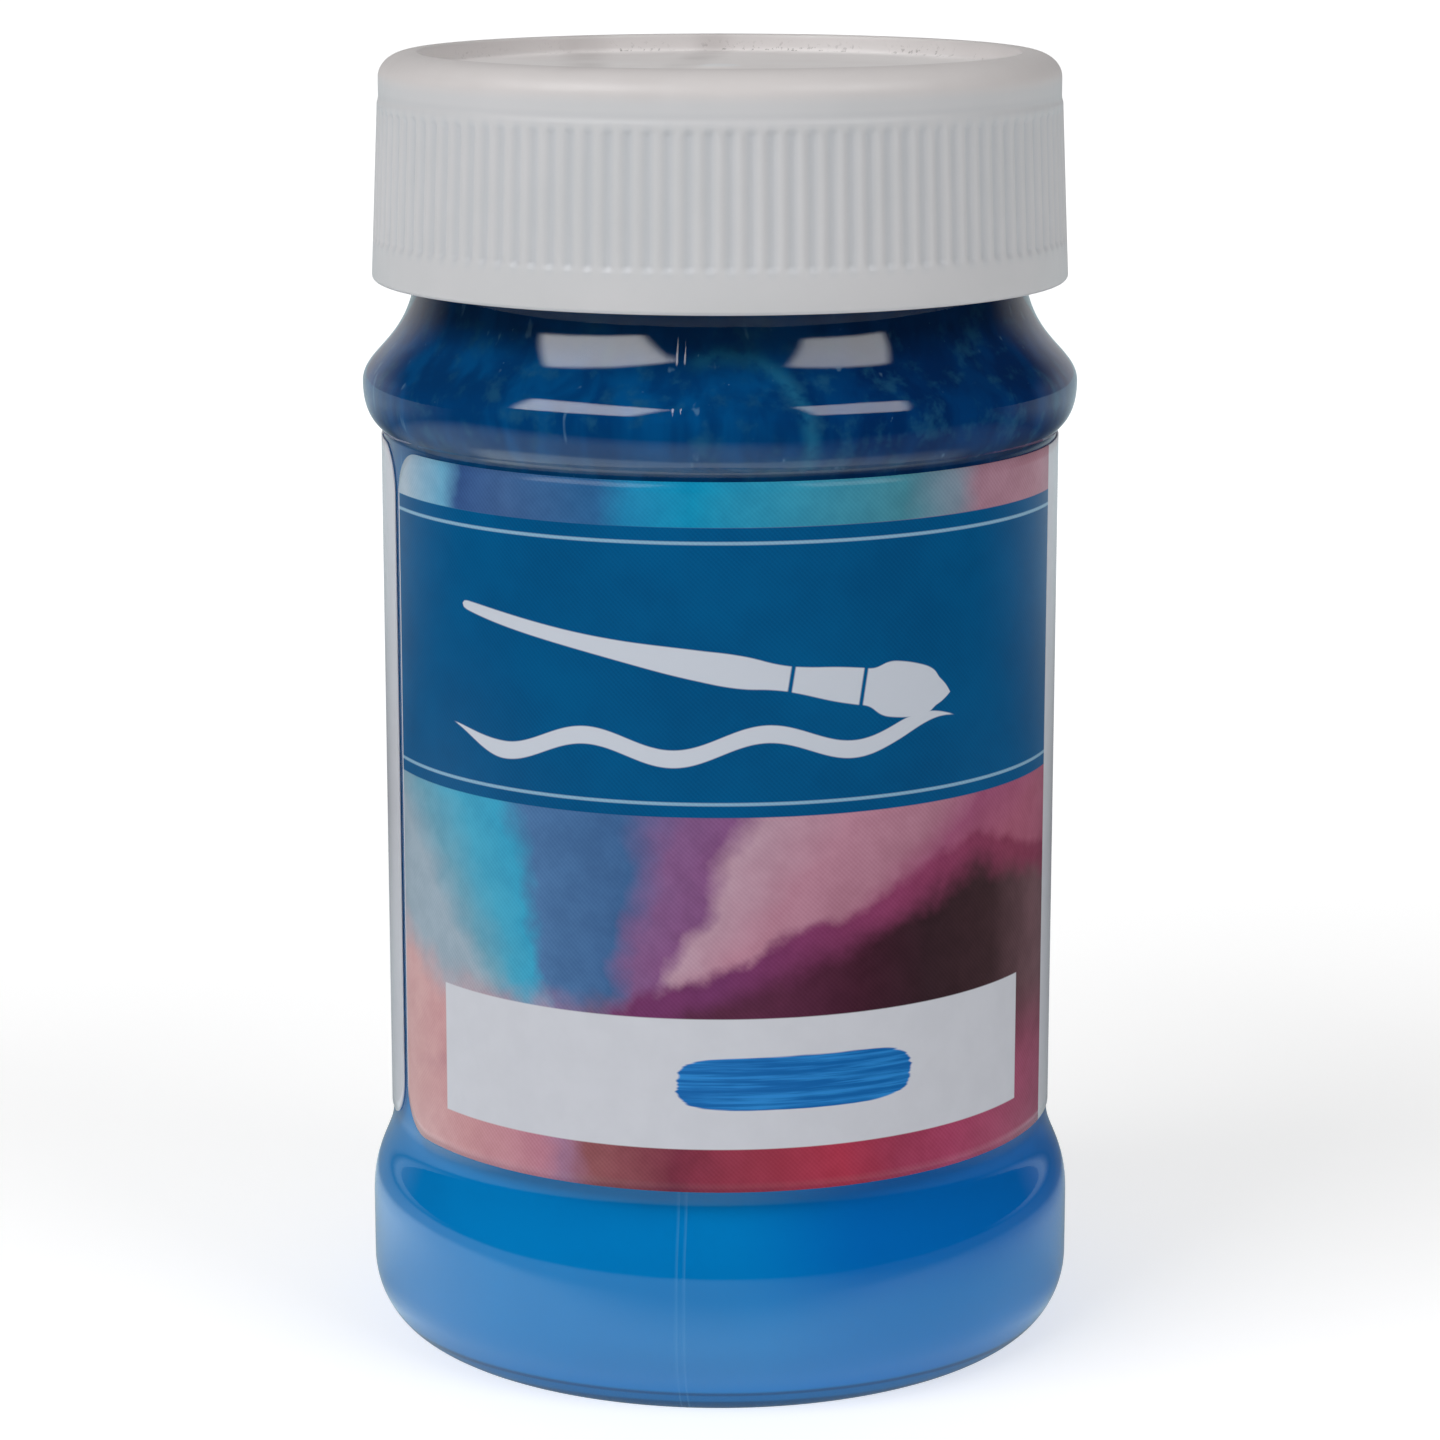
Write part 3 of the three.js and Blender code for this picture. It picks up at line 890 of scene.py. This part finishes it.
def liner_foam():
    g = material_graph("liner_foam")
    x, y, z, place = g.millimetres()
    cells = g.node("ShaderNodeTexVoronoi", {"Vector": place, "Scale": 2.6}, output="Distance")
    shade = g.mix(g.smooth(cells, 0.1, 0.6), rgb(226, 225, 220), rgb(242, 241, 237))
    radius = g.length(x, y)
    under = g.fall(z, LINER_Z[0] + 0.2, LINER_Z[0] + 0.3)
    splash = g.smooth(g.noise(place, 0.22, 5.0, 0.65, 0.8), 0.52, 0.6)
    inside = g.fall(radius, MOUTH_R - 0.6, MOUTH_R)
    ring = g.band(radius, MOUTH_R - 0.1, MOUTH_R + 0.4, 0.25)
    stain = g.most(g.times(splash, inside), g.times(ring, 0.7))
    shade = g.mix(g.times(stain, under), shade, rgb(20, 104, 176))
    inputs = {"Base Color": shade, "Roughness": 0.85, "Normal": g.bump(cells, 0.5, 0.15 * MM)}
    return g.finish(g.node("ShaderNodeBsdfPrincipled", inputs))


# ---- The label's print, in millimetres: along runs round the jar from the front, towards +X ----

PANEL_ALONG = (-26.05, 27.75)  # the coloured panel; the rest of the label is plain white
BAND = (38.95, 57.0)  # the blue band
BAND_RULES = (39.8, 56.05)  # a fine pale line inside each edge of the band
RULE_WIDTH = 0.2
BOX_ALONG = (-20.3, 23.1)  # the white box
BOX = (17.65, 26.1)
SCREEN = 0.22  # pitch of the print's dots
WASH_SPAN = 60.0  # a row of washes reaches half of this either way from the front


def washes(g, along, stops):
    """Side-by-side washes of colour, given as (where it is at its fullest, and its ink's levels)."""
    spot = g.plus(g.over(along, WASH_SPAN), 0.5)
    return g.ramp(spot, [(at / WASH_SPAN + 0.5, ink(*levels)) for at, *levels in stops])


def stray(g, flat, scale, reach, detail=3.0):
    """A random sideways shift, up to about half of reach either way."""
    return g.times(g.minus(g.noise(flat, scale, detail, 0.55), 0.5), reach)


WASH_FOOT = -8.5  # the upper washes draw together towards this place as they run down
UPPER_WASHES = [
    (-27, 136, 154, 168),
    (-22.5, 90, 142, 164),
    (-18, 58, 146, 178),
    (-15, 46, 140, 176),
    (-13, 64, 100, 144),
    (-6, 54, 88, 132),
    (-2.5, 116, 80, 122),
    (0.5, 114, 72, 114),
    (2.5, 166, 132, 148),
    (8, 166, 116, 134),
    (14, 156, 106, 124),
    (18, 138, 72, 102),
    (26, 148, 80, 102),
]
LOWER_WASHES = [
    (-24, 190, 146, 146),
    (-18, 180, 128, 132),
    (-12, 168, 110, 126),
    (-10, 142, 102, 128),
    (-8, 128, 74, 78),
    (-3, 108, 40, 58),
    (2, 136, 46, 64),
    (8, 154, 46, 66),
    (12, 138, 50, 74),
    (16, 150, 58, 88),
    (26, 138, 70, 94),
]


def watercolour(g, along, height, flat):
    """Loose washes of colour that bleed into each other."""
    shift = g.plus(stray(g, flat, 0.13, 4.0), stray(g, flat, 0.6, 1.6))
    spread = g.plus(g.times(g.minus(height, 38.0), 0.05), 1.0)
    from_foot = g.minus(g.plus(along, shift), WASH_FOOT)
    funnel = g.plus(g.over(from_foot, g.most(spread, 0.4)), WASH_FOOT)
    upper = washes(g, funnel, UPPER_WASHES)
    lower = washes(g, g.plus(along, shift), LOWER_WASHES)
    climb = g.times(g.math("MINIMUM", g.plus(along, 20.0), 0.0), 0.45)
    shore = g.plus(g.plus(height, climb), stray(g, flat, 0.4, 3.0))
    return g.mix(g.smooth(shore, 24.0, 28.0), lower, upper)


EDGE_WASHES = [
    (0, 98, 44, 86),
    (12, 122, 52, 86),
    (22, 118, 50, 74),
]
DEEP_WASHES = [
    (4, 76, 34, 56),
    (9, 58, 26, 40),
    (14, 46, 28, 34),
    (20, 54, 34, 38),
    (26, 98, 70, 76),
]


def dark_wash(g, along, height, flat, art):
    """A dark wash low on the right, with a plum edge that rises to the right and then falls."""
    rising = g.plus(g.times(along, 0.4), 29.4)
    falling = g.minus(41.8, g.times(along, 0.28))
    shift = g.plus(stray(g, flat, 0.18, 3.0), stray(g, flat, 0.7, 1.4, 5.0))
    below = g.plus(g.minus(g.math("MINIMUM", rising, falling), height), shift)
    foot = g.smooth(height, 19.0, 26.0)
    art = g.mix(g.times(g.smooth(below, -0.5, 0.7), foot), art, washes(g, along, EDGE_WASHES))
    return g.mix(g.times(g.smooth(below, 1.0, 3.6), foot), art, washes(g, along, DEEP_WASHES))


STRIP_WASHES = [
    (-25, 150, 167, 182),
    (-20, 92, 150, 182),
    (-18.2, 46, 74, 122),
    (-14, 56, 86, 130),
    (-7.6, 38, 86, 132),
    (-5.6, 28, 118, 162),
    (-2, 12, 126, 166),
    (4, 42, 128, 158),
    (12, 60, 120, 136),
    (16, 112, 126, 142),
    (18, 148, 110, 126),
    (25, 156, 112, 126),
]


def colour_strip(g, along, flat):
    """The strip of colour above the band."""
    return washes(g, g.plus(along, stray(g, flat, 0.3, 2.0)), STRIP_WASHES)


BRUSH_LENGTH = 34.0
BRUSH_TIP = (15.6, 45.8)
BRUSH_LEAN = math.radians(-9)  # the handle's end is up on the left
# Half the brush's width along its length, from the handle's end to the tip of its hair.
BRUSH_HANDLE = [(0.0, 0.0), (0.006, 0.22), (0.02, 0.3), (0.3, 0.55), (0.5, 0.95)]
BRUSH_HANDLE += [(0.56, 1.02), (0.66, 0.78)]
BRUSH_COLLAR = [(0.672, 0.8), (0.8, 1.15)]
BRUSH_HAIR = [(0.812, 1.15), (0.87, 1.75), (0.92, 1.65), (0.97, 0.85), (1.0, 0.0)]
BRUSH_GAPS = (0.667, 0.806)  # fine lines between the handle, the collar and the hair
BRUSH_GAP_HALF = 0.004
STROKE_ALONG = (-17.0, 14.0)
STROKE_HALF = 0.55
STROKE_Z = 43.4
STROKE_RISE = 0.03  # for each millimetre along
STROKE_WAVE = (0.55, 0.7)  # radians for each millimetre along, and how far it swings up and down
PRINT_EDGE = 0.05  # how softly a printed edge fades


def brush_half_width(g, run):
    """Half the brush's width at a part of its length."""
    curve = g.tree.nodes.new("ShaderNodeFloatCurve")
    points = curve.mapping.curves[0].points
    outline = BRUSH_HANDLE + BRUSH_COLLAR + BRUSH_HAIR
    for at, width in outline[1:-1]:
        points.new(at, width / 2)  # halved, because the curve holds nothing above 1
    points[0].location = (outline[0][0], outline[0][1] / 2)
    points[len(points) - 1].location = (outline[-1][0], outline[-1][1] / 2)
    curve.mapping.update()
    g.put(curve.inputs["Value"], run)
    return g.times(curve.outputs[0], 2.0)


def brush_shape(g, along, height):
    """A plain paint brush lying across the band: 0 to 1."""
    from_tip = g.minus(along, BRUSH_TIP[0])
    above_tip = g.minus(height, BRUSH_TIP[1])
    cos, sin = math.cos(BRUSH_LEAN), math.sin(BRUSH_LEAN)
    down_brush = g.plus(g.times(from_tip, cos), g.times(above_tip, sin))
    off_brush = g.minus(g.times(above_tip, cos), g.times(from_tip, sin))
    run = g.plus(g.over(down_brush, BRUSH_LENGTH), 1.0)
    depth = g.minus(brush_half_width(g, run), g.abs(off_brush))
    brush = g.times(g.smooth(depth, -PRINT_EDGE, PRINT_EDGE), g.band(run, 0.0, 1.0, 0.002))
    for gap in BRUSH_GAPS:
        in_gap = g.band(run, gap - BRUSH_GAP_HALF, gap + BRUSH_GAP_HALF, 0.002)
        brush = g.times(brush, g.minus(1.0, in_gap))
    return brush


def stroke_shape(g, along, height):
    """A wavy stroke that thins at both ends: 0 to 1."""
    pace, swing = STROKE_WAVE
    wave = g.times(g.math("SINE", g.times(along, pace)), swing)
    middle = g.plus(g.plus(g.times(along, STROKE_RISE), wave), STROKE_Z)
    ends = g.band(along, *STROKE_ALONG, 2.5)
    thick = g.times(ends, STROKE_HALF)
    depth = g.minus(thick, g.abs(g.minus(height, middle)))
    return g.times(g.smooth(depth, -PRINT_EDGE, PRINT_EDGE), g.smooth(ends, 0.02, 0.1))


def brush_mark(g, along, height):
    """A plain picture of a paint brush over the wavy stroke that ends under its tip."""
    return g.most(brush_shape(g, along, height), stroke_shape(g, along, height))


SWATCH_MIDDLE = (5.0, 21.9)
SWATCH_HALF = (7.8, 1.75)


def swatch_mark(g, along, height, flat):
    """A brushed dab of the paint's own blue in the white box: how much of it there is, and how light."""
    bristles = g.noise(g.stretched(flat, (0.12, 3.2, 1)), 1.0, 3.0, 0.6)
    ragged = g.times(g.minus(bristles, 0.5), 0.5)
    across = g.abs(g.over(g.minus(along, SWATCH_MIDDLE[0]), SWATCH_HALF[0]))
    up = g.abs(g.over(g.minus(height, SWATCH_MIDDLE[1]), SWATCH_HALF[1]))
    reach = g.plus(g.math("POWER", across, 6.0), g.math("POWER", up, 3.0))
    dab = g.smooth(g.plus(reach, ragged), 0.85, 1.0, 1.0, 0.0)
    return dab, g.smooth(bristles, 0.4, 0.66)


def dot_screen(g, along, height):
    """The fine dots that printed colour is made of: 0 to 1."""
    pitch = TAU / (SCREEN * math.sqrt(2))
    rising = g.math("SINE", g.times(g.plus(along, height), pitch))
    falling = g.math("SINE", g.times(g.minus(along, height), pitch))
    return g.smooth(g.plus(rising, g.times(falling, 0.5)), -1.0, 1.0)


def printed_paper():
    """White paper with a coloured panel at the front. The rest of the label is left plain."""
    g = material_graph("printed_paper")
    x, y, z, place = g.millimetres()
    along = g.times(g.round_angle(x, y), LABEL_R)
    flat = g.combine(along, z)

    art = dark_wash(g, along, z, flat, watercolour(g, along, z, flat))
    art = g.mix(g.smooth(z, BAND[1] - PRINT_EDGE, BAND[1] + PRINT_EDGE), art, colour_strip(g, along, flat))
    pooled = g.smooth(g.noise(flat, 0.45, 5.0, 0.62), 0.32, 0.68, 0.0, 0.22)
    art = g.mix(pooled, art, g.mix(1.0, art, art, "SCREEN"))
    band_blue = g.mix(g.smooth(g.noise(flat, 0.12, 4.0, 0.6), 0.3, 0.7), ink(0, 71, 117), ink(0, 79, 127))
    art = g.mix(g.band(z, *BAND, 0.04), art, band_blue)
    for rule in BAND_RULES:
        on_rule = g.band(z, rule - RULE_WIDTH / 2, rule + RULE_WIDTH / 2, PRINT_EDGE)
        art = g.mix(g.times(on_rule, 0.85), art, ink(134, 172, 196))
    dots = g.times(dot_screen(g, along, z), 0.16)
    art = g.mix(dots, art, g.mix(1.0, art, art, "SCREEN"))
    art = g.mix(brush_mark(g, along, z), art, ink(190, 196, 206))

    paper = g.mix(g.smooth(g.noise(place, 0.5, 4.0), 0.3, 0.7), ink(193, 195, 202), ink(196, 198, 205))
    box = g.times(g.band(along, *BOX_ALONG, PRINT_EDGE), g.band(z, *BOX, PRINT_EDGE))
    dab, thin = swatch_mark(g, along, z, flat)
    boxed = g.mix(dab, paper, g.mix(thin, ink(12, 92, 160), ink(40, 128, 196)))
    art = g.mix(box, art, boxed)
    printed = g.mix(g.band(along, *PANEL_ALONG, PRINT_EDGE), paper, art)
    inputs = {
        "Base Color": printed,
        "Roughness": 0.15,
        "Specular IOR Level": 0.16,
        "Normal": g.bump(g.noise(place, 3.2, 4.0, 0.6), 0.15, 0.03 * MM),
    }
    return g.finish(g.node("ShaderNodeBsdfPrincipled", inputs))


# ---- Stage, lights and camera ----

BEHIND = (0.4, 0.95)  # how far back a direction points where the pale room begins, and where it is fullest
ROOM = (0.02, 0.6)  # the room's brightness in front and behind, as the object's reflections see it

FLOOR_RINGS = (0, 100, 200, 400, 800, 1600, 3200)
FLOOR_THICK = 5.0
FLOOR_COLUMNS = 64
FLOOR_GLOW_R = (40.0, 400.0)

# Distances over which the table changes in reflections: its bright patch, the jar's shadow, the far part
PATCH = (36.0, 48.0)
PATCH_END = (84.0, 180.0)
PATCH_RIGHT = (-10.0, 70.0)
SHADOW_BESIDE = (24.0, 44.0)
SHADOW_UNDER = (21.0, 25.5)
FAR_PART = (80.0, 380.0)


def floor_reflected(g, x, y, away):
    """How bright the table is where reflections show it."""
    backwards = g.over(y, away)
    spread = g.length(g.times(x, 0.6), y)
    patch = g.times(g.smooth(spread, *PATCH, 1.45, 0.68), g.fall(spread, *PATCH_END))
    to_right = g.times(g.smooth(x, *PATCH_RIGHT, 1.0, 0.28), g.smooth(backwards, 0.1, 0.7, 1.0, 0.5))
    beside = g.smooth(backwards, -0.5, 0.1)
    shadow = g.times(beside, g.smooth(away, *SHADOW_BESIDE, 0.65, 0.0))
    shadow = g.most(shadow, g.smooth(away, *SHADOW_UNDER, 0.8, 0.0))
    near = g.times(g.times(patch, to_right), g.minus(1.0, shadow))
    far = g.times(g.smooth(away, *FAR_PART), g.smooth(backwards, -0.1, 0.85, 0.0, ROOM[1]))
    return g.most(g.most(near, far), ROOM[0])


def make_floor():
    """A wide pale table. Seen directly, it glows further out, where the lights don't reach."""
    edge = FLOOR_RINGS[-1]
    profile = [(ring, 0.0) for ring in FLOOR_RINGS] + [(edge, -FLOOR_THICK), (0, -FLOOR_THICK)]
    table = revolve("floor", profile, even_angles(FLOOR_COLUMNS))
    g = material_graph("floor")
    x, y, _ = g.separate(g.place())
    away = g.length(x, y)
    diffuse = g.node("ShaderNodeBsdfDiffuse", {"Color": (0.8, 0.8, 0.8, 1)})
    through = g.rays("Is Transmission Ray")
    direct = g.most(g.rays("Is Camera Ray"), through)
    seen = g.times(direct, g.smooth(away, *FLOOR_GLOW_R, 0.5, 0.92))
    emission = g.node("ShaderNodeEmission", {"Strength": g.most(seen, 0.3)})
    lit = g.node("ShaderNodeAddShader", {0: diffuse, 1: emission})
    inputs = {"Color": (0.8, 0.96, 1.0, 1), "Strength": floor_reflected(g, x, y, away)}
    mirrored = g.node("ShaderNodeEmission", inputs)
    glossy = g.times(g.rays("Is Glossy Ray"), g.minus(1.0, through))
    shader = g.node("ShaderNodeMixShader", {0: glossy, 1: lit, 2: mirrored})
    table.data.materials.append(g.finish(shader))


# Parts of a unit direction between which the room changes: upwards, and backwards for matt surfaces
ROOM_ABOVE = (0.12, 0.45)
FILL_BEHIND = (0.3, 0.65)
FILL_ABOVE = (0.3, 0.9)


def make_world():
    """A pale room: even light for matt surfaces, dark above and in front in reflections, else white."""
    world = bpy.data.worlds.new("room")
    bpy.context.scene.world = world
    g = Graph(world)
    _, y, z = g.separate(g.node("ShaderNodeTexCoord", output="Generated"))
    reflected = g.times(g.smooth(y, *BEHIND), g.smooth(z, *ROOM_ABOVE, ROOM[1], 0.0))
    fill = g.plus(g.times(g.smooth(y, *FILL_BEHIND), 0.35), g.smooth(z, *FILL_ABOVE, 0.1, 0.25))
    matt = g.rays("Is Diffuse Ray")
    strength = g.plus(g.times(matt, fill), g.times(g.minus(1.0, matt), reflected))
    room = g.node("ShaderNodeBackground", {"Strength": g.most(strength, ROOM[0])})
    seen = g.node("ShaderNodeBackground", {"Strength": 1.0})
    direct = g.rays("Is Camera Ray", "Is Transmission Ray")
    g.finish(g.node("ShaderNodeMixShader", {0: direct, 1: room, 2: seen}), "ShaderNodeOutputWorld")


LIGHT_AIM = (0, 0, 0.066)
LIGHT_DISTANCE = 0.6
LIGHT_SOFT_EDGE = 0.14  # the part of the light's width over which each edge fades


def make_softbox(name, azimuth, elevation, roll, size, radiance):
    """A soft rectangular light that fades at its edges. Azimuth is from the front towards +X."""
    data = bpy.data.lights.new(name, "AREA")
    data.shape = "RECTANGLE"
    data.size, data.size_y = size
    data.energy = radiance * math.pi * size[0] * size[1]
    g = Graph(data)
    u, v, _ = g.separate(g.node("ShaderNodeNewGeometry", output="Parametric"))
    middle = (LIGHT_SOFT_EDGE / 2, 1 - LIGHT_SOFT_EDGE / 2, LIGHT_SOFT_EDGE / 2)
    fade = g.times(g.band(u, *middle), g.band(v, *middle))
    g.finish(g.node("ShaderNodeEmission", {"Strength": fade}), "ShaderNodeOutputLight")
    light = bpy.data.objects.new(name, data)
    a, e = math.radians(azimuth), math.radians(elevation)
    away = Vector((math.sin(a) * math.cos(e), -math.cos(a) * math.cos(e), math.sin(e)))
    light.location = Vector(LIGHT_AIM) + away * LIGHT_DISTANCE
    turned = away.to_track_quat("Z", "Y") @ Quaternion((0, 0, 1), math.radians(roll))
    light.rotation_euler = turned.to_euler()
    bpy.context.scene.collection.objects.link(light)


VIEW_DISTANCE = 0.2776  # from the jar's axis to the camera, along the floor
VIEW_HEIGHT = 0.1001
VIEW_DOWN = 12.143
VIEW_LENS = 106.9


def make_camera():
    data = bpy.data.cameras.new("camera")
    data.lens = VIEW_LENS
    data.sensor_width = 36
    camera = bpy.data.objects.new("camera", data)
    camera.location = (0, -VIEW_DISTANCE, VIEW_HEIGHT)
    camera.rotation_euler = (math.radians(90 - VIEW_DOWN), 0, 0)
    bpy.context.scene.collection.objects.link(camera)
    bpy.context.scene.camera = camera


# ---- The whole scene ----


def build():
    finishes = [
        (make_jar(), clear_plastic()),
        (make_paint(), blue_paint()),
        (make_label(), printed_paper()),
        (make_cap(), white_plastic()),
        (make_liner(), liner_foam()),
    ]
    for piece, material in finishes:
        piece.data.materials.append(material)
    make_floor()
    make_world()
    make_softbox("softbox_left", azimuth=-52, elevation=42, roll=5, size=(0.48, 0.33), radiance=5.1)
    make_softbox("softbox_right", azimuth=52.5, elevation=42, roll=-16, size=(0.36, 0.33), radiance=3.75)
    make_camera()
    bpy.context.scene.view_settings.view_transform = "Standard"


build()
